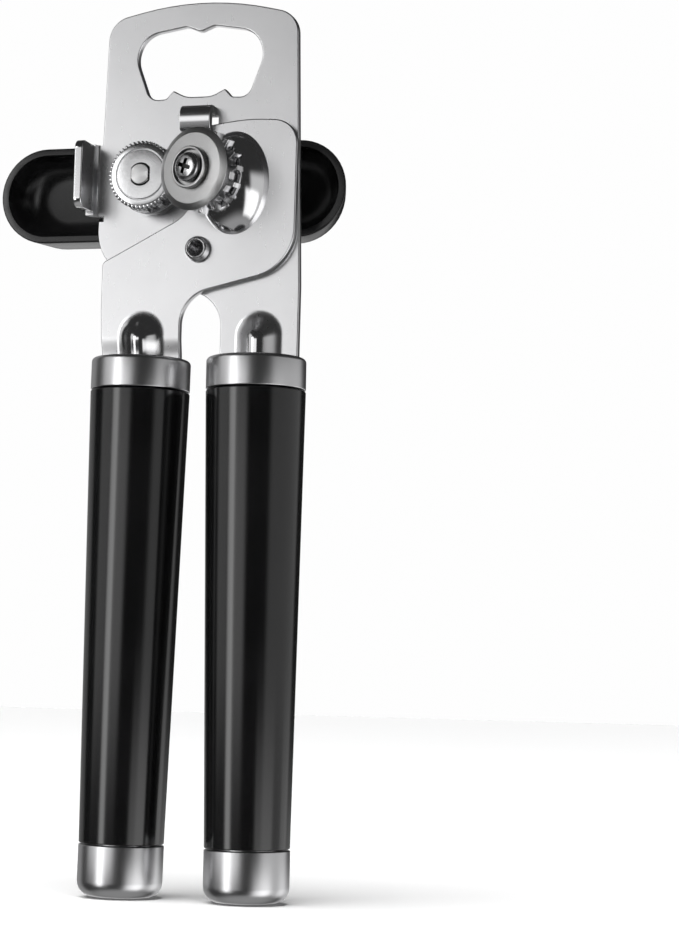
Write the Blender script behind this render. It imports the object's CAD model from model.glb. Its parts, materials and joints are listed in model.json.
"""Looks of a manual can opener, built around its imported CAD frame. Lengths in the helpers are millimetres."""

import json
import math

import bmesh
import bpy
from mathutils import Matrix, Vector


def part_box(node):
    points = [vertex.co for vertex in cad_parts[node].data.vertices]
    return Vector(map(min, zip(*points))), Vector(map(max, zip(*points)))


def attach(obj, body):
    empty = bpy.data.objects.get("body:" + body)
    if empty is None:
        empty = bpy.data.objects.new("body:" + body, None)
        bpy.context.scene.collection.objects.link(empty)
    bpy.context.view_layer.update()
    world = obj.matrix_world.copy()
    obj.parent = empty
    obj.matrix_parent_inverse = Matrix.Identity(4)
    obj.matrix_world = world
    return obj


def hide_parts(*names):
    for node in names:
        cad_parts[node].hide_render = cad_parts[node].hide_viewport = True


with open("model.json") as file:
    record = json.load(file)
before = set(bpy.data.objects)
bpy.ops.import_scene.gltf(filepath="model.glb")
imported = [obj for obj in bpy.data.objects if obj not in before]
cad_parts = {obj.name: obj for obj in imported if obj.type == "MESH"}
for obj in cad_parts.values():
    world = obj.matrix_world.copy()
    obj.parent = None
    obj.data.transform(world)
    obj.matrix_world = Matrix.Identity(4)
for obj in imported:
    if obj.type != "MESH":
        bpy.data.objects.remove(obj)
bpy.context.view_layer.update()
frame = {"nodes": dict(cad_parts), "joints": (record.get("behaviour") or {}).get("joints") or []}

# ---- the CAD's working frame: crank axis at x = 0, rear plate's front face at y = 0 ----
MM = 0.001
SHEET = 2.0  # plate thickness
GAP = 0.3  # clearance between stacked or moving parts
FRONT_FACE = -(SHEET + GAP)  # front face of the front plate
CRANK_Z = 168.6
KNOB_BACK = 21.9
JOINTS = {j["name"]: j for j in frame["joints"]}
crank_pos = Vector(JOINTS["crank_spin"]["pos_m"]) / MM
ORIGIN = Vector((crank_pos.x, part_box("crank_knob")[1].y / MM - KNOB_BACK, crank_pos.z - CRANK_Z))
WORKING = Matrix.Scale(MM, 4) @ Matrix.Translation(ORIGIN)

PIVOT = Vector((12.2, 0, 151.8))
PIVOT_BORE = 2.5
CUTTER = Vector((14.3, -14.9, 168.6))
CUTTER_TILT = math.radians(20)
CUTTER_SEAT = 8.6  # depth of the tilted seat behind the cutting wheel
SEAT_R = 4.5
POST_BORE = 3.3
SHAFT_R = 2.5
SHAFT_BORE = 2.8
HANDLE_Y = -1.2
HANDLE_TOP = 125.8
SPLAY = math.radians(0.55)  # each handle leans outwards
R_TOP = 11.7
R_BOTTOM = 9.9
FERRULE = 7.5  # ferrule height
CAP = 12.0  # end cap height
EDGE_ROUND = 0.32  # rounding of the plates' cut edges
JOGGLE = 0.8  # step back in the left neck
NECK_LEFT = -1.5
NECK_RIGHT = 27.05
CUTTER_FRAME = Matrix.Translation(CUTTER) @ Matrix.Rotation(-CUTTER_TILT, 4, "Z")
TILTED = WORKING @ CUTTER_FRAME
ON_CRANK = WORKING @ Matrix.Translation((0, 0, CRANK_Z))


# ---- materials ----
def new_material(name, base, metallic, roughness):
    """A Principled material; its colour, roughness and bump can then be linked to textures."""
    mat = bpy.data.materials.new(name)
    mat.use_nodes = True
    shader = mat.node_tree.nodes["Principled BSDF"]
    shader.inputs["Base Color"].default_value = (*base, 1)
    shader.inputs["Metallic"].default_value = metallic
    shader.inputs["Roughness"].default_value = roughness
    return mat, shader


def link(mat, source, target):
    mat.node_tree.links.new(source, target)


def noise(mat, scale, detail=3.0, stretch=(1, 1, 1)):
    """Noise over the piece's own coordinates; stretch makes it directional."""
    nodes = mat.node_tree.nodes
    coords = nodes.new("ShaderNodeTexCoord")
    mapping = nodes.new("ShaderNodeMapping")
    mapping.inputs["Scale"].default_value = stretch
    texture = nodes.new("ShaderNodeTexNoise")
    texture.inputs["Scale"].default_value = scale
    texture.inputs["Detail"].default_value = detail
    link(mat, coords.outputs["Object"], mapping.inputs["Vector"])
    link(mat, mapping.outputs["Vector"], texture.inputs["Vector"])
    return texture.outputs["Fac"]


def remap(mat, source, low, high):
    node = mat.node_tree.nodes.new("ShaderNodeMapRange")
    node.inputs["To Min"].default_value = low
    node.inputs["To Max"].default_value = high
    link(mat, source, node.inputs["Value"])
    return node.outputs["Result"]


def tint(mat, source, dark, light):
    ramp = mat.node_tree.nodes.new("ShaderNodeValToRGB")
    ramp.color_ramp.elements[0].position = 0.35
    ramp.color_ramp.elements[0].color = (*dark, 1)
    ramp.color_ramp.elements[1].position = 0.65
    ramp.color_ramp.elements[1].color = (*light, 1)
    link(mat, source, ramp.inputs["Fac"])
    return ramp.outputs["Color"]


def bump(mat, shader, source, strength, distance):
    node = mat.node_tree.nodes.new("ShaderNodeBump")
    node.inputs["Strength"].default_value = strength
    node.inputs["Distance"].default_value = distance
    link(mat, source, node.inputs["Height"])
    link(mat, node.outputs["Normal"], shader.inputs["Normal"])


def steel(name, dark, light, rough, grain, grain_bump):
    mat, shader = new_material(name, light, 1.0, rough[0])
    patches = noise(mat, 90, 4)
    fine = noise(mat, grain, 2)
    link(mat, tint(mat, patches, dark, light), shader.inputs["Base Color"])
    link(mat, remap(mat, fine, *rough), shader.inputs["Roughness"])
    bump(mat, shader, fine, grain_bump, 0.00004)
    return mat


def plastic(name, dark, light, rough, grain, grain_bump, ior=1.5):
    mat, shader = new_material(name, light, 0.0, rough[0])
    shader.inputs["IOR"].default_value = ior
    patches = noise(mat, 60, 4)
    fine = noise(mat, grain, 2)
    link(mat, tint(mat, patches, dark, light), shader.inputs["Base Color"])
    link(mat, remap(mat, patches, *rough), shader.inputs["Roughness"])
    bump(mat, shader, fine, grain_bump, 0.00003)
    return mat


def ground_steel(name):
    """Steel with the fine rings that grinding leaves round the piece's own y axis."""
    mat, shader = new_material(name, (0.66, 0.66, 0.66), 1.0, 0.3)
    nodes = mat.node_tree.nodes
    coords = nodes.new("ShaderNodeTexCoord")
    rings = nodes.new("ShaderNodeTexWave")
    rings.wave_type = "RINGS"
    rings.rings_direction = "Y"
    rings.inputs["Scale"].default_value = 1500
    rings.inputs["Distortion"].default_value = 1.5
    rings.inputs["Detail"].default_value = 3
    link(mat, coords.outputs["Object"], rings.inputs["Vector"])
    shade = tint(mat, rings.outputs["Fac"], (0.55, 0.55, 0.55), (0.72, 0.72, 0.72))
    link(mat, shade, shader.inputs["Base Color"])
    link(mat, remap(mat, rings.outputs["Fac"], 0.24, 0.36), shader.inputs["Roughness"])
    bump(mat, shader, rings.outputs["Fac"], 0.25, 0.00003)
    return mat


def plate_steel(name):
    """Bright rolled sheet: a soft sheen on the flats and a mirror where the press has drawn the metal out."""
    mat, shader = new_material(name, (0.86, 0.86, 0.87), 1.0, 0.2)
    nodes = mat.node_tree.nodes
    coords = nodes.new("ShaderNodeTexCoord")
    depth = nodes.new("ShaderNodeSeparateXYZ")
    link(mat, coords.outputs["Object"], depth.inputs[0])
    drawn = nodes.new("ShaderNodeMapRange")
    drawn.inputs["From Min"].default_value = (FRONT_FACE - 0.5) * MM
    drawn.inputs["From Max"].default_value = (FRONT_FACE - 0.1) * MM
    drawn.inputs["To Min"].default_value = 0.13
    drawn.inputs["To Max"].default_value = 0.28
    link(mat, depth.outputs["Y"], drawn.inputs["Value"])
    patches = noise(mat, 60, 4)
    fine = noise(mat, 1400, 2, (1, 1, 0.15))
    wear = nodes.new("ShaderNodeMath")
    wear.operation = "MULTIPLY"
    link(mat, drawn.outputs["Result"], wear.inputs[0])
    link(mat, remap(mat, fine, 0.94, 1.06), wear.inputs[1])
    link(mat, wear.outputs[0], shader.inputs["Roughness"])
    link(mat, tint(mat, patches, (0.83, 0.83, 0.84), (0.88, 0.88, 0.89)), shader.inputs["Base Color"])
    bump(mat, shader, fine, 0.003, 0.00003)
    return mat


POLISHED = plate_steel("polished_steel")
SATIN = steel("satin_steel", (0.70, 0.70, 0.71), (0.74, 0.74, 0.75), (0.28, 0.33), 5200, 0.10)
TOOTHED = steel("toothed_steel", (0.66, 0.66, 0.67), (0.80, 0.80, 0.81), (0.14, 0.26), 1500, 0.15)
FASTENER = steel("fastener_steel", (0.50, 0.50, 0.51), (0.64, 0.64, 0.65), (0.18, 0.32), 1800, 0.15)
GROUND = ground_steel("ground_steel")
RECESS = steel("recess_steel", (0.04, 0.04, 0.04), (0.08, 0.08, 0.08), (0.4, 0.55), 1800, 0.2)
GRIP = plastic("grip_gloss", (0.003, 0.003, 0.0032), (0.005, 0.005, 0.0053), (0.13, 0.19), 900, 0.04, 1.65)
KNOB = plastic("knob_gloss", (0.005, 0.005, 0.0053), (0.009, 0.009, 0.0095), (0.20, 0.30), 2200, 0.15)
NYLON = plastic("core_nylon", (0.02, 0.02, 0.02), (0.035, 0.035, 0.035), (0.5, 0.6), 2000, 0.3)


# ---- shapes ----
def outline(corners, step=math.radians(6)):
    """Points round a closed line of [u, v, radius] corners, each corner replaced by a tangent arc."""
    points = []
    count = len(corners)
    for i, (u, v, r) in enumerate(corners):
        corner = Vector((u, v))
        if not r:
            points.append((u, v))
            continue
        back = (Vector(corners[i - 1][:2]) - corner).normalized()
        ahead = (Vector(corners[(i + 1) % count][:2]) - corner).normalized()
        half = back.angle(ahead) / 2
        centre = corner + (back + ahead).normalized() * (r / math.sin(half))
        start = corner + back * (r / math.tan(half)) - centre
        end = corner + ahead * (r / math.tan(half)) - centre
        turn = math.atan2(start.x * end.y - start.y * end.x, start.dot(end))
        pieces = max(2, math.ceil(abs(turn) / step))
        for k in range(pieces + 1):
            arm = Matrix.Rotation(turn * k / pieces, 2) @ start
            points.append((centre.x + arm.x, centre.y + arm.y))
    return points


def make(name, bm, matrix, mat, body, nodes=(), smooth=35):
    """Finishes a bmesh as a piece: outward faces, smooth shading up to an angle, material, body and slot."""
    bmesh.ops.remove_doubles(bm, verts=bm.verts, dist=1e-5)
    bmesh.ops.recalc_face_normals(bm, faces=bm.faces)
    mesh = bpy.data.meshes.new(name)
    bm.to_mesh(mesh)
    bm.free()
    piece = bpy.data.objects.new(name, mesh)
    bpy.context.scene.collection.objects.link(piece)
    scale = matrix.to_scale()
    mesh.transform(Matrix.Diagonal((*scale, 1)))
    piece.matrix_world = matrix @ Matrix.Diagonal((*[1 / s for s in scale], 1))
    for polygon in mesh.polygons:
        polygon.use_smooth = True
    mesh.set_sharp_from_angle(angle=math.radians(smooth))
    mesh.materials.append(mat)
    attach(piece, body)
    if nodes:
        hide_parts(*nodes)
    return piece


def lathe(corners, segments=96, along="Y"):
    """Turns [radius, height, fillet] corners about an axis; a corner at radius 0 closes the end."""
    bm = bmesh.new()
    points = [(max(r, 0.0), h) for r, h in outline(corners, math.radians(15))]
    rings = []
    for r, h in points:
        if r < 1e-6:
            where = (0, h, 0) if along == "Y" else (0, 0, h)
            rings.append([bm.verts.new(where)])
            continue
        ring = []
        for k in range(segments):
            a = 2 * math.pi * k / segments
            u, v = r * math.cos(a), r * math.sin(a)
            ring.append(bm.verts.new((u, h, v) if along == "Y" else (u, v, h)))
        rings.append(ring)
    for low, high in zip(rings, rings[1:] + rings[:1]):
        if len(low) == 1 and len(high) == 1:
            continue
        for k in range(segments):
            m = (k + 1) % segments
            corners_of = [low[k % len(low)], low[m % len(low)], high[m % len(high)], high[k % len(high)]]
            bm.faces.new(list(dict.fromkeys(corners_of)))
    return bm


def prism(points, low, high, bevel=0.0, plane="XZ"):
    """A closed outline given thickness between two depths, with a small chamfer round both faces."""
    bm = bmesh.new()

    def at(u, v, d):
        return (u, d, v) if plane == "XZ" else (d, u, v)

    bottom = [bm.verts.new(at(u, v, low)) for u, v in points]
    top = [bm.verts.new(at(u, v, high)) for u, v in points]
    count = len(points)
    caps = [bm.faces.new(bottom), bm.faces.new(list(reversed(top)))]
    for i in range(count):
        j = (i + 1) % count
        bm.faces.new((bottom[i], bottom[j], top[j], top[i]))
    bmesh.ops.remove_doubles(bm, verts=bm.verts, dist=1e-5)
    bmesh.ops.recalc_face_normals(bm, faces=bm.faces)
    if bevel:
        edges = [e for cap in caps if cap.is_valid for e in cap.edges]
        bmesh.ops.bevel(
            bm, geom=edges, offset=bevel, segments=3, profile=0.5, affect="EDGES", clamp_overlap=True
        )
    return bm


def loft(rings):
    """A closed skin through rings of points with the same count."""
    bm = bmesh.new()
    made = [[bm.verts.new(p) for p in ring] for ring in rings]
    count = len(made[0])
    for low, high in zip(made, made[1:]):
        for i in range(count):
            j = (i + 1) % count
            bm.faces.new((low[i], low[j], high[j], high[i]))
    bm.faces.new(made[0])
    bm.faces.new(list(reversed(made[-1])))
    bmesh.ops.recalc_face_normals(bm, faces=bm.faces)
    return bm


def flared_hole(points, low, high):
    """A cutter for a hole whose two rims come out rounded."""
    count = len(points)
    spread = []
    for i, (u, v) in enumerate(points):
        along = Vector(points[(i + 1) % count]) - Vector(points[i - 1])
        spread.append(Vector((along.y, -along.x)).normalized())
    area = sum(p[0] * q[1] - q[0] * p[1] for p, q in zip(points, points[1:] + points[:1]))
    outwards = 1 if area > 0 else -1
    profile = []
    for k in range(5):
        a = math.pi / 2 * k / 4
        profile.append((EDGE_ROUND * (1 - math.sin(a)), low + EDGE_ROUND * (1 - math.cos(a))))
    profile = [(EDGE_ROUND, low - 2), *profile]
    profile += [(out, high + low - y) for out, y in reversed(profile)]
    return loft([[Vector((u + d.x * out * outwards, y, v + d.y * out * outwards))
                  for (u, v), d in zip(points, spread)] for out, y in profile])


def as_object(bm):
    bmesh.ops.recalc_face_normals(bm, faces=bm.faces)
    mesh = bpy.data.meshes.new("scratch")
    bm.to_mesh(mesh)
    bm.free()
    obj = bpy.data.objects.new("scratch", mesh)
    bpy.context.scene.collection.objects.link(obj)
    return obj


def combine(base, steps):
    """Joins and cuts solids in turn: steps are (operation, bmesh). Gives a bmesh back."""
    target = as_object(base)
    tools = []
    for operation, tool in steps:
        other = as_object(tool)
        tools.append(other)
        modifier = target.modifiers.new(operation, "BOOLEAN")
        modifier.operation = operation
        modifier.solver = "EXACT"
        modifier.object = other
    depsgraph = bpy.context.evaluated_depsgraph_get()
    result = bmesh.new()
    result.from_mesh(target.evaluated_get(depsgraph).to_mesh())
    for obj in [target, *tools]:
        bpy.data.objects.remove(obj)
    return result


def cylinder(x, z, r, low, high, segments=64):
    bm = lathe([[0, low, 0], [r, low, 0], [r, high, 0], [0, high, 0]], segments)
    bmesh.ops.translate(bm, verts=bm.verts, vec=(x, 0, z))
    return bm


def box(cx, cy, cz, sx, sy, sz):
    bm = bmesh.new()
    where = Matrix.Translation((cx, cy, cz)) @ Matrix.Diagonal((sx, sy, sz, 1))
    bmesh.ops.create_cube(bm, size=1, matrix=where)
    return bm


def placed(bm, matrix):
    bmesh.ops.transform(bm, matrix=matrix, verts=bm.verts)
    return bm


# ---- the two levers ----
def tang(x, side):
    half, tang_half, shoulder, tang_end = 9.6, 6.3, 119.5, 66
    return [
        [x + side * half, shoulder, 1],
        [x + side * tang_half, shoulder, 1],
        [x + side * tang_half, tang_end, 3],
        [x - side * tang_half, tang_end, 3],
        [x - side * tang_half, shoulder, 1],
        [x - side * half, shoulder, 1],
    ]


def neck_rib(x, face):
    """A pressed rib on a neck: a soft swell that runs out into the sheet at its sides and upper end."""
    half, rise, apex, low, levels, turns = 6.0, 3.2, 137.6, 118.0, 24, 40
    rings = [[Vector((p[0], face + 0.5, p[1])) for p in rib_ring(x, half, apex, low, turns)]]
    for level in range(levels + 1):
        share = level / levels
        height = rise * 0.5 * (1 - math.cos(math.pi * share))
        ring = rib_ring(x, half * (1 - 0.97 * share), apex - 7.5 * share, low, turns)
        rings.append([Vector((u, face - height, v)) for u, v in ring])
    return loft(rings)


def rib_ring(x, half, apex, low, turns):
    ring = [(x - half, low), (x + half, low)]
    for k in range(turns + 1):
        a = math.pi * k / turns
        ring.append((x + half * math.cos(a), apex - half + half * math.sin(a)))
    return ring


def bottle_mouth():
    middle = 10.35
    half = [
        [3.4, 206.4, 3.0],
        [13.8, 204.7, 6.0],
        [16.1, 199.0, 6.5],
        [12.3, 188.7, 3.0],
        [8.3, 188.9, 1.2],
        [6.5, 190.9, 0.5],
        [3.2, 189.2, 6.0],
    ]
    right = [[middle + u, v, r] for u, v, r in half]
    left = [[middle - u, v, r] for u, v, r in reversed(half)]
    return flared_hole(outline([[middle, 205.0, 1.5], *right, *left]), 0, SHEET)


def rear_plate():
    x = NECK_RIGHT
    shape = outline(
        [
            [-12.9, 208.5, 6],
            [11.4, 213.95, 70],
            [34.6, 208.3, 6],
            [x + 9.6, 143, 40],
            *tang(x, 1),
            [x - 9.6, 140.4, 8.5],
            [-14.4, 148.0, 12],
        ],
        math.radians(3),
    )
    tab = outline(
        [
            [0.6, 184.5, 0],
            [FRONT_FACE - 0.5, 184.5, 0.8],
            [FRONT_FACE - 0.5, 180.0, 0.2],
            [FRONT_FACE - 2.1, 180.0, 0.9],
            [FRONT_FACE - 2.8, 183.0, 6.0],
            [FRONT_FACE - 2.3, 186.4, 2.6],
            [0.6, 186.4, 0],
        ]
    )
    bend_x, inner, z0, z1 = -14.1, 0.9, 161.6, 177.8
    outer = inner + SHEET
    leaf = outline([[-inner, z0, 0], [-inner, z1, 0], [-9.8, z1, 2.2], [-9.8, z0, 2.2]])
    arc = [math.pi / 2 + math.pi / 2 * k / 12 for k in range(13)]
    bend = [(bend_x + 1, 0)]
    bend += [(bend_x + inner * math.cos(a), -inner + inner * math.sin(a)) for a in arc]
    bend += [(bend_x - inner, -inner - 0.4), (bend_x - outer, -inner - 0.4)]
    bend += [(bend_x + outer * math.cos(a), -inner + outer * math.sin(a)) for a in reversed(arc)]
    bend += [(bend_x + 1, SHEET)]
    rolled = bmesh.new()
    low = [rolled.verts.new((u, v, z0 - 0.6)) for u, v in bend]
    high = [rolled.verts.new((u, v, z1 + 0.4)) for u, v in bend]
    rolled.faces.new(low)
    rolled.faces.new(list(reversed(high)))
    for i in range(len(bend)):
        j = (i + 1) % len(bend)
        rolled.faces.new((low[i], low[j], high[j], high[i]))
    return combine(
        prism(shape, 0, SHEET, EDGE_ROUND),
        [
            ("UNION", neck_rib(x, 0)),
            ("UNION", prism(tab, 7.3, 14.9, 0.6, "YZ")),
            ("UNION", prism(leaf, bend_x - outer, bend_x - inner, EDGE_ROUND, "YZ")),
            ("UNION", rolled),
            ("DIFFERENCE", bottle_mouth()),
            ("DIFFERENCE", box(11.1, 1, 181.5, 8.8, 6, 5.8)),
            ("DIFFERENCE", box(-13.4, 1, 160.2, 1.2, 6, 1.4)),
            ("DIFFERENCE", cylinder(PIVOT.x, PIVOT.z, PIVOT_BORE, -1, SHEET + 1)),
            ("DIFFERENCE", cylinder(0, CRANK_Z, 4.9, -1, SHEET + 1)),
        ],
    )


DOME_X, DOME_Z, DOME_HALF_X, DOME_HALF_Z, DOME_SHEET = 20.6, 167.5, 8.7, 12.4, 1.7


def dome(inset, seat_depth, base_y):
    """The raised seat of the cutting wheel, from an oval rim on the plate to a tilted round seat."""
    sweep, rows, count = math.radians(72), 18, 96
    rings = []
    rims, seats = [], []
    for k in range(count):
        a = 2 * math.pi * k / count
        rim_x = DOME_X + (DOME_HALF_X - inset) * math.cos(a)
        rim_z = DOME_Z + (DOME_HALF_Z - inset) * math.sin(a)
        rims.append(Vector((rim_x, FRONT_FACE + inset + 0.15, rim_z)))
        r = SEAT_R - inset / 4
        seats.append(CUTTER_FRAME @ Vector((r * math.cos(a), seat_depth, r * math.sin(a))))
    rings.append([Vector((p.x, base_y, p.z)) for p in rims])
    for row in range(rows + 1):
        turn = sweep * row / rows
        across = 1 - math.sin(sweep - turn) / math.sin(sweep)
        rise = 1 - (1 - math.cos(sweep - turn)) / (1 - math.cos(sweep))
        rings.append(
            [
                Vector((p.x + (q.x - p.x) * across, p.y + (q.y - p.y) * rise, p.z + (q.z - p.z) * across))
                for p, q in zip(rims, seats)
            ]
        )
    return loft(rings)


STEP_TOP, STEP_RUN = 131.5, 5.5  # where the left neck steps back
RETURN_TOP, RETURN_RUN = 122.5, 4  # where its tang comes forward again, inside the handle


def front_plate():
    x = NECK_LEFT
    clear = 11.5
    shape = outline(
        [
            [x + 9.6, 140.7, 8.5],
            [35.8, 147.3, 12],
            [35.9, 182.0, 6],
            [24, 183.0, 45],
            [clear, 181.2, 1.5],
            [clear, 161.5, clear],
            [-11.9, 149.2, 1.6],
            [-11.9, 138, 20],
            *tang(x, -1),
        ],
        math.radians(3),
    )
    plate = front_solid(shape, x)
    levels = [STEP_TOP - 0.5 * k for k in range(12)] + [RETURN_TOP - 0.8 * k for k in range(6)]
    for z in levels:
        everything = [*plate.verts, *plate.edges, *plate.faces]
        bmesh.ops.bisect_plane(plate, geom=everything, plane_co=(0, 0, z), plane_no=(0, 0, 1))
    for vert in plate.verts:
        down = min(max((STEP_TOP - vert.co.z) / STEP_RUN, 0), 1)
        back = min(max((RETURN_TOP - vert.co.z) / RETURN_RUN, 0), 1)
        vert.co.y += JOGGLE * (down * down * (3 - 2 * down) - back * back * (3 - 2 * back))
    return plate


def front_solid(shape, x):
    post_hole = placed(cylinder(0, 0, POST_BORE, CUTTER_SEAT - 2, CUTTER_SEAT + 4), CUTTER_FRAME)
    return combine(
        prism(shape, FRONT_FACE, -GAP, EDGE_ROUND),
        [
            ("UNION", neck_rib(x, FRONT_FACE)),
            ("UNION", dome(0, CUTTER_SEAT, -1.2)),
            ("DIFFERENCE", dome(DOME_SHEET, CUTTER_SEAT + DOME_SHEET, 1)),
            ("DIFFERENCE", post_hole),
            ("DIFFERENCE", cylinder(PIVOT.x, PIVOT.z, PIVOT_BORE, -6, 1)),
        ],
    )


def sheet_metal(name, bm, body, node):
    """Makes a plate, its flat faces kept flat in the shading."""
    piece = make(name, bm, WORKING, POLISHED, body, [node], smooth=34)
    normals = piece.modifiers.new("normals", "WEIGHTED_NORMAL")
    normals.keep_sharp = True
    return piece


sheet_metal("plate_rear", rear_plate(), "rear_lever", "rear_plate")
sheet_metal("plate_front", front_plate(), "front_lever", "front_plate")

# ---- pivot rivet ----
rivet = lathe(
    [
        [0, SHEET + 0.4, 0],
        [1.8, SHEET + 0.4, 0],
        [1.8, FRONT_FACE - 2.0, 0.3],
        [2.2, FRONT_FACE - 2.2, 0.2],
        [2.7, FRONT_FACE - 1.9, 0.5],
        [3.1, FRONT_FACE - 0.8, 0.3],
        [3.1, FRONT_FACE - GAP, 0.1],
        [2.2, FRONT_FACE - GAP, 0],
        [2.2, SHEET + 1.4, 0],
        [4.3, SHEET + 1.4, 0.1],
        [4.3, SHEET + 2.4, 0.5],
        [0, SHEET + 2.4, 0],
    ]
)
ON_PIVOT = WORKING @ Matrix.Translation(PIVOT)
make("rivet", rivet, ON_PIVOT, FASTENER, "rear_lever", ["pivot_rivet"])


def washer(name, r_in, r_out, low, high, matrix, body, node):
    corners = [[r_in, low, 0.08], [r_out, low, 0.2], [r_out, high, 0.2], [r_in, high, 0.08]]
    make(name, lathe(corners), matrix, FASTENER, body, [node])


washer("rivet_washer", PIVOT_BORE, 5.2, SHEET + GAP, SHEET + 1.1, ON_PIVOT, "rear_lever", "pivot_washer")


# ---- crank: shaft, feed wheel, feed gear, washers, knob ----
KNURLS, FEED_TEETH, CUTTER_TEETH = 48, 12, 15


def gear_points(teeth, r_root, r_tip, root_half, tip_half):
    """A toothed outline; root_half and tip_half are half of a tooth's width there, in degrees."""
    points = []
    for i in range(teeth):
        middle = 2 * math.pi * i / teeth
        for turn, r in ((-root_half, r_root), (-tip_half, r_tip), (tip_half, r_tip), (root_half, r_root)):
            a = middle + math.radians(turn)
            points.append((r * math.cos(a), r * math.sin(a)))
    return points


shaft = combine(
    lathe([[0, -10.8, 0], [SHAFT_R, -10.8, 0.3], [SHAFT_R, 15.6, 0.2], [0, 15.6, 0]], 64),
    [("DIFFERENCE", box(side * 3.55, -9.1, 0, 3, 3.8, 6)) for side in (1, -1)],
)
make("shaft", shaft, ON_CRANK, GROUND, "crank", ["crank_shaft"])

feed_face = lathe(
    [
        [0, -10.25, 0],
        [5.85, -10.25, 0.12],
        [5.9, -9.85, 0],
        [6.1, -9.85, 0],
        [6.15, -10.15, 0.1],
        [7.5, -9.95, 0.3],
        [7.5, -9, 0],
        [0, -9, 0],
    ]
)
flatted_bore = combine(cylinder(0, 0, SHAFT_BORE, -12, -6), [("INTERSECT", box(0, -9, 0, 4.7, 6, 8))])
feed = combine(
    prism(gear_points(KNURLS, 7.6, 8.1, 2.6, 1.1), -9.8, -7.6, 0.2),
    [("UNION", feed_face), ("DIFFERENCE", flatted_bore)],
)
make("feed_wheel_piece", feed, ON_CRANK, TOOTHED, "crank", ["feed_wheel"])
feed_gear = combine(
    prism(gear_points(FEED_TEETH, 6.2, 8.1, 8.5, 4.5), -7.3, -4.2, 0.25),
    [("DIFFERENCE", cylinder(0, 0, SHAFT_BORE, -9, -3))],
)
make("feed_gear_piece", feed_gear, ON_CRANK, TOOTHED, "crank", ["feed_gear"])
washer("feed_washer_piece", SHAFT_BORE, 8.2, -3.9, -3.1, ON_CRANK, "crank", "feed_washer")
washer("collar_behind", SHAFT_BORE, 4.4, SHEET + 1.7, 10.1, ON_CRANK, "crank", "crank_collar")
bushing = lathe(
    [
        [SHAFT_BORE, -2.8, 0.1],
        [7.9, -2.8, 0.45],
        [7.9, -GAP, 0.1],
        [4.6, -GAP, 0],
        [4.6, SHEET + GAP, 0.1],
        [SHAFT_BORE, SHEET + GAP, 0.1],
    ]
)
make("bushing", bushing, ON_CRANK, FASTENER, "rear_lever", ["shaft_bushing"])
washer("washer_behind", SHAFT_BORE, 7.2, SHEET + 0.6, SHEET + 1.4, ON_CRANK, "rear_lever", "rear_washer")

KNOB_HALF, KNOB_R, KNOB_RIM, KNOB_WALL = 44.3, 11.8, 11.0, 1.6
KNOB_TAPER = 3.1  # each end comes in by this much between the rim and the back
KNOB_CORNER, KNOB_BOWL, KNOB_LIP = 2.2, 5.5, 0.45  # rounds at the back, in the hollow and at the rim
KNOB_FLOOR = KNOB_BACK - 1.8
HUB_R, HUB_FRONT = 6.5, 10.4
HUB_SINK = 0.5  # how far the hub runs into the floor


def stadium(inset, y, count=24):
    """A ring round the knob's long oval, moved in from its outer edge by inset."""
    behind = max(0, y - KNOB_RIM) / (KNOB_BACK - KNOB_RIM)
    straight, r = KNOB_HALF - KNOB_R - KNOB_TAPER * behind, max(KNOB_R - inset, 0.01)
    ring = []
    for side, first in ((1, -0.5), (-1, 0.5)):
        for k in range(count + 1):
            a = math.pi * (first + k / count)
            ring.append((side * straight + r * math.cos(a), y, r * math.sin(a)))
    return ring


def oval_cup(inset, y_open, y_floor, corner, lip):
    """The solid of a tapering oval with a rounded back, its rim rounded too if it has a lip."""
    rings = [stadium(inset + lip, y_open)]
    if lip:
        for k in range(1, 5):
            a = math.pi / 2 * k / 4
            rings.append(stadium(inset + lip * (1 - math.sin(a)), y_open + lip * (1 - math.cos(a))))
    for k in range(13):
        a = math.pi / 2 * k / 12
        rings.append(stadium(inset + corner * (1 - math.cos(a)), y_floor - corner + corner * math.sin(a)))
    return loft(rings)


hub_back = KNOB_FLOOR + HUB_SINK
hub = lathe([[0, HUB_FRONT, 0], [HUB_R, HUB_FRONT, 0.5], [HUB_R, hub_back, 0], [0, hub_back, 0]], 64)
knob = combine(
    oval_cup(0, KNOB_RIM, KNOB_BACK, KNOB_CORNER, KNOB_LIP),
    [
        ("DIFFERENCE", oval_cup(KNOB_WALL, KNOB_RIM - 1, KNOB_FLOOR, KNOB_BOWL, 0)),
        ("UNION", hub),
        ("UNION", box(8, KNOB_FLOOR - 1.6, 0, 6, 4, 1.6)),
        ("UNION", box(-8, KNOB_FLOOR - 1.6, 0, 6, 4, 1.6)),
        ("DIFFERENCE", cylinder(0, 0, SHAFT_BORE, 9, 15.9)),
        ("DIFFERENCE", cylinder(0, 0, 1.8, 15, KNOB_BACK)),
        ("DIFFERENCE", cylinder(0, 0, 4.4, KNOB_BACK - 1.2, KNOB_BACK + 1)),
    ],
)
make("knob", knob, ON_CRANK, KNOB, "crank", ["crank_knob"], smooth=32)


def cross_cut(bm, face, size, width, depth):
    """A screw's cross recess, cut from the front of a head."""
    return combine(
        bm,
        [
            ("DIFFERENCE", box(0, face, 0, size, depth, width)),
            ("DIFFERENCE", box(0, face, 0, width, depth, size)),
        ],
    )


def darken_cross(piece, reach, behind):
    """Gives the faces inside a screw's cross dark steel: those within reach of its axis that behind picks."""
    piece.data.materials.append(RECESS)
    for polygon in piece.data.polygons:
        x, y, z = polygon.center / MM
        if math.hypot(x, z) < reach and behind(y):
            polygon.material_index = 1


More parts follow.
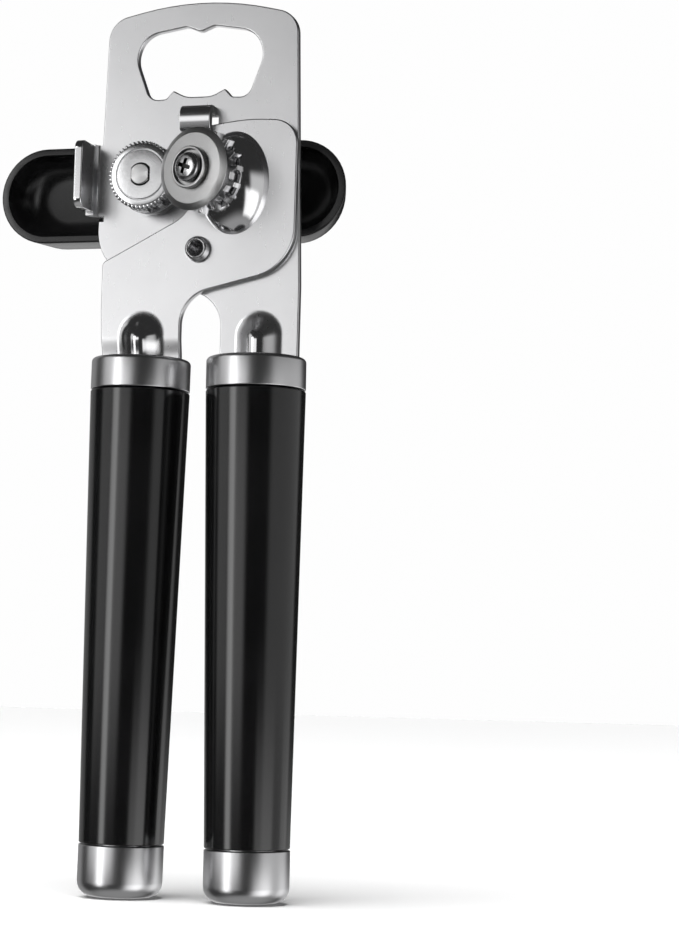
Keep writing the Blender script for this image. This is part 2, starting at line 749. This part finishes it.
screw_face = KNOB_BACK - 0.1
back_screw = lathe(
    [
        [0, 8, 0],
        [1.5, 8, 0],
        [1.5, screw_face - 0.8, 0],
        [4, screw_face - 0.8, 0.1],
        [4, screw_face, 0.4],
        [0, screw_face, 0],
    ],
    64,
)
back_screw = cross_cut(back_screw, screw_face, 4.4, 0.8, 1)
rear_screw = make("screw_behind", back_screw, ON_CRANK, FASTENER, "crank", ["knob_screw"])
darken_cross(rear_screw, 2.3, lambda y: screw_face - 0.7 < y < screw_face - 0.05)

# ---- cutting wheel, its gear, collar and screw, on the tilted axis ----
disc = lathe(
    [
        [POST_BORE, 0, 0],
        [8.3, 0, 0.15],
        [9.8, 0.75, 0.05],
        [9.8, 0.9, 0.05],
        [9.1, 1.2, 0.1],
        [POST_BORE, 1.2, 0],
    ],
    128,
)
make("cutting_disc", disc, TILTED, GROUND, "cutter", ["cutter_wheel"])
gear = combine(
    prism(gear_points(CUTTER_TEETH, 7.7, 9.7, 6.5, 3.2), 4.7, 7.4, 0.35),
    [
        ("UNION", lathe([[0, 1.5, 0], [6.4, 1.5, 0.3], [6.4, 5.7, 0], [0, 5.7, 0]])),
        ("DIFFERENCE", cylinder(0, 0, POST_BORE, 0, 9)),
    ],
)
make("cutting_gear", gear, TILTED, TOOTHED, "cutter", ["cutter_gear"])
washer("seat_washer", POST_BORE, 8.5, 7.7, 8.3, TILTED, "front_lever", "gear_washer")
collar = lathe(
    [
        [1.8, -0.45, 0],
        [4.2, -0.45, 0.1],
        [4.3, -1.5, 0.1],
        [5.0, -1.5, 0.3],
        [5.0, -GAP, 0.1],
        [1.8, -GAP, 0],
    ]
)
make("disc_collar", collar, TILTED, GROUND, "front_lever", ["cutter_collar"])
HEAD_TOP = -2.9
screw = lathe(
    [
        [0, HEAD_TOP, 0],
        [1.4, -2.86, 1],
        [2.6, -2.6, 1],
        [3.3, -2.1, 0.6],
        [3.5, -1.2, 0.1],
        [1.4, -1.2, 0],
        [1.4, 6, 0],
        [0, 6, 0],
    ],
    64,
)
turned_screw = TILTED @ Matrix.Rotation(math.radians(20), 4, "Y")
screw = cross_cut(screw, HEAD_TOP, 3.7, 0.95, 2.6)
front_screw = make(
    "disc_screw", screw, turned_screw, FASTENER, "front_lever", ["cutter_screw"]
)
darken_cross(front_screw, 1.95, lambda y: -2.72 < y < -1.5)

# ---- handles ----
GRIP_TOP = -FERRULE - GAP
GRIP_END = -HANDLE_TOP + CAP + GAP
GRIP_WALL = 2.3
FERRULE_WALL = 1.3
SPIGOT = 8  # how far a cap reaches up inside the grip


def grip_radius(z):
    return R_BOTTOM + (R_TOP - R_BOTTOM) * (z - GRIP_END) / (GRIP_TOP - GRIP_END)


def handle(side, x, lean, body):
    matrix = WORKING @ Matrix.Translation((x, HANDLE_Y, HANDLE_TOP)) @ Matrix.Rotation(lean, 4, "Y")
    ferrule = [
        [R_TOP - FERRULE_WALL, -FERRULE, 0.05],
        [R_TOP, -FERRULE, 0.25],
        [R_TOP, 0, 1.0],
        [R_TOP - FERRULE_WALL, 0, 0.2],
    ]
    sleeve = lathe(ferrule, 128, "Z")
    make(side + "_collar_sleeve", sleeve, matrix, SATIN, body, [side + "_ferrule"])
    grip = [
        [R_BOTTOM - GRIP_WALL, GRIP_END, 0.05],
        [R_BOTTOM, GRIP_END, 0.3],
        [R_TOP, GRIP_TOP, 0.3],
        [R_TOP - GRIP_WALL, GRIP_TOP, 0.05],
    ]
    make(side + "_grip_sleeve", lathe(grip, 128, "Z"), matrix, GRIP, body, [side + "_grip"])
    r, bottom = R_BOTTOM + 0.05, -HANDLE_TOP
    spigot = grip_radius(GRIP_END) - GRIP_WALL - GAP
    cap = [
        [0, bottom, 0],
        [r, bottom, 3.6],
        [r, bottom + CAP, 0.25],
        [spigot, bottom + CAP, 0],
        [spigot, bottom + CAP + SPIGOT, 0.2],
        [0, bottom + CAP + SPIGOT, 0],
    ]
    make(side + "_cap", lathe(cap, 128, "Z"), matrix, SATIN, body, [side + "_end_cap"])


handle("left", NECK_LEFT, SPLAY, "front_lever")
handle("right", NECK_RIGHT, -SPLAY, "rear_lever")

# ---- hidden CAD nodes keep their shape and get a finished material ----
for node, mat in (
    ("left_core", NYLON),
    ("right_core", NYLON),
    ("left_tang_pin", FASTENER),
    ("right_tang_pin", FASTENER),
    ("cutter_post", GROUND),
):
    cad = frame["nodes"][node]
    cad.data.materials.clear()
    cad.data.materials.append(mat)

# ---- studio: pale floor, soft world light shaped as softboxes, camera below the head and to the right ----
FLOOR_HALF = 6.0
FLOOR_DROP = 0.0002  # keeps the floor just clear of the end caps
floor_mesh = bpy.data.meshes.new("floor")
floor_bm = bmesh.new()
bmesh.ops.create_grid(floor_bm, x_segments=1, y_segments=1, size=FLOOR_HALF)
floor_bm.to_mesh(floor_mesh)
floor_bm.free()
floor = bpy.data.objects.new("floor", floor_mesh)
bpy.context.scene.collection.objects.link(floor)
floor.location.z = -FLOOR_DROP
floor_mat, floor_shader = new_material("floor_paper", (0.93, 0.93, 0.93), 0.0, 0.8)
link(floor_mat, remap(floor_mat, noise(floor_mat, 40), 0.7, 0.85), floor_shader.inputs["Roughness"])
floor_mesh.materials.append(floor_mat)
floor.visible_glossy = False

world = bpy.data.worlds.new("studio")
bpy.context.scene.world = world
world.use_nodes = True
tree = world.node_tree
tree.nodes.clear()


def math_node(operation, *values):
    node = tree.nodes.new("ShaderNodeMath")
    node.operation = operation
    for i, value in enumerate(values):
        if isinstance(value, (int, float)):
            node.inputs[i].default_value = value
        else:
            tree.links.new(value, node.inputs[i])
    return node.outputs[0]


def smooth_step(value, start, end):
    node = tree.nodes.new("ShaderNodeMapRange")
    node.interpolation_type = "SMOOTHSTEP"
    node.inputs["From Min"].default_value = start
    node.inputs["From Max"].default_value = end
    tree.links.new(value, node.inputs["Value"])
    return node.outputs["Result"]


direction = tree.nodes.new("ShaderNodeTexCoord").outputs["Generated"]
split = tree.nodes.new("ShaderNodeSeparateXYZ")
tree.links.new(direction, split.inputs[0])
azimuth = math_node("ARCTAN2", split.outputs["X"], math_node("MULTIPLY", split.outputs["Y"], -1.0))
elevation = math_node("ARCSINE", split.outputs["Z"])


def softbox(az, az_half, el, el_half, soft, level):
    """A soft-edged bright patch of the world round a direction, in degrees; azimuth 0 is the front."""
    edges = []
    for angle, centre, half in ((azimuth, az, az_half), (elevation, el, el_half)):
        away = math_node("ABSOLUTE", math_node("SUBTRACT", angle, math.radians(centre)))
        away = math_node("MINIMUM", away, math_node("SUBTRACT", 2 * math.pi, away))
        edges.append(smooth_step(away, math.radians(half + soft), math.radians(half)))
    return math_node("MULTIPLY", math_node("MULTIPLY", *edges), level)


AMBIENT = 0.035
# direction and half width round, the same up and down, softness of the edge (degrees), and brightness
PATCHES = (
    (-18, 10, 3, 5, 12, 1.25),
    (-37, 4, 0, 20, 7, 3.6),
    (-62, 10, 14, 16, 8, 0.78),
    (-135, 25, 0, 40, 10, 0.35),
    (100, 38, -12, 22, 14, 0.65),
    (62, 20, -28, 15, 10, 1.4),
    (165, 45, -18, 8, 9, 0.75),
    (0, 180, -75, 15, 25, 0.35),
)
total = AMBIENT
for patch in PATCHES:
    total = math_node("ADD", total, softbox(*patch))
background = tree.nodes.new("ShaderNodeBackground")
tree.links.new(total, background.inputs["Strength"])
plain = tree.nodes.new("ShaderNodeBackground")
plain.inputs["Color"].default_value = (0.99, 0.99, 0.99, 1)
mix = tree.nodes.new("ShaderNodeMixShader")
tree.links.new(tree.nodes.new("ShaderNodeLightPath").outputs["Is Camera Ray"], mix.inputs["Fac"])
tree.links.new(background.outputs[0], mix.inputs[1])
tree.links.new(plain.outputs[0], mix.inputs[2])
tree.links.new(mix.outputs[0], tree.nodes.new("ShaderNodeOutputWorld").inputs["Surface"])


def area_light(name, location, target, size, power):
    data = bpy.data.lights.new(name, "AREA")
    data.shape = "DISK"
    data.size = size
    data.energy = power
    lamp = bpy.data.objects.new(name, data)
    bpy.context.scene.collection.objects.link(lamp)
    lamp.location = location
    lamp.rotation_euler = (Vector(target) - Vector(location)).to_track_quat("-Z", "Y").to_euler()
    lamp.visible_glossy = False
    lamp.visible_camera = False


area_light("overhead", (0.3, -0.5, 2.2), (0, 0, 0.1), 1.2, 14)
even_data = bpy.data.lights.new("even_light", "SUN")
even_data.energy = 3.4
even_data.angle = math.radians(60)
even_light = bpy.data.objects.new("even_light", even_data)
bpy.context.scene.collection.objects.link(even_light)
even_light.rotation_euler = (math.radians(18), math.radians(-12), 0)
even_light.visible_glossy = False
even_light.visible_camera = False

YAW, PITCH, ROLL = 0.2756, 0.0904, 0.0258
CAMERA_AT = (204.2, -553.8, 47.1)
SENSOR, FOCAL_SHARE = 36.0, 3.681885  # mm, and the focal length as a share of the sensor's width
forward = Vector((-math.sin(YAW) * math.cos(PITCH), math.cos(YAW) * math.cos(PITCH), math.sin(PITCH)))
level_right = forward.cross(Vector((0, 0, 1))).normalized()
level_up = level_right.cross(forward)
right = math.cos(ROLL) * level_right + math.sin(ROLL) * level_up
up = -math.sin(ROLL) * level_right + math.cos(ROLL) * level_up
camera_data = bpy.data.cameras.new("camera")
camera_data.sensor_fit = "HORIZONTAL"
camera_data.sensor_width = SENSOR
camera_data.lens = SENSOR * FOCAL_SHARE
camera_data.clip_start = 0.01
camera = bpy.data.objects.new("camera", camera_data)
bpy.context.scene.collection.objects.link(camera)
pose = Matrix((right, up, -forward)).transposed().to_4x4()
camera.matrix_world = Matrix.Translation(WORKING @ Vector(CAMERA_AT)) @ pose
bpy.context.scene.camera = camera
bpy.context.scene.view_settings.view_transform = "Standard"
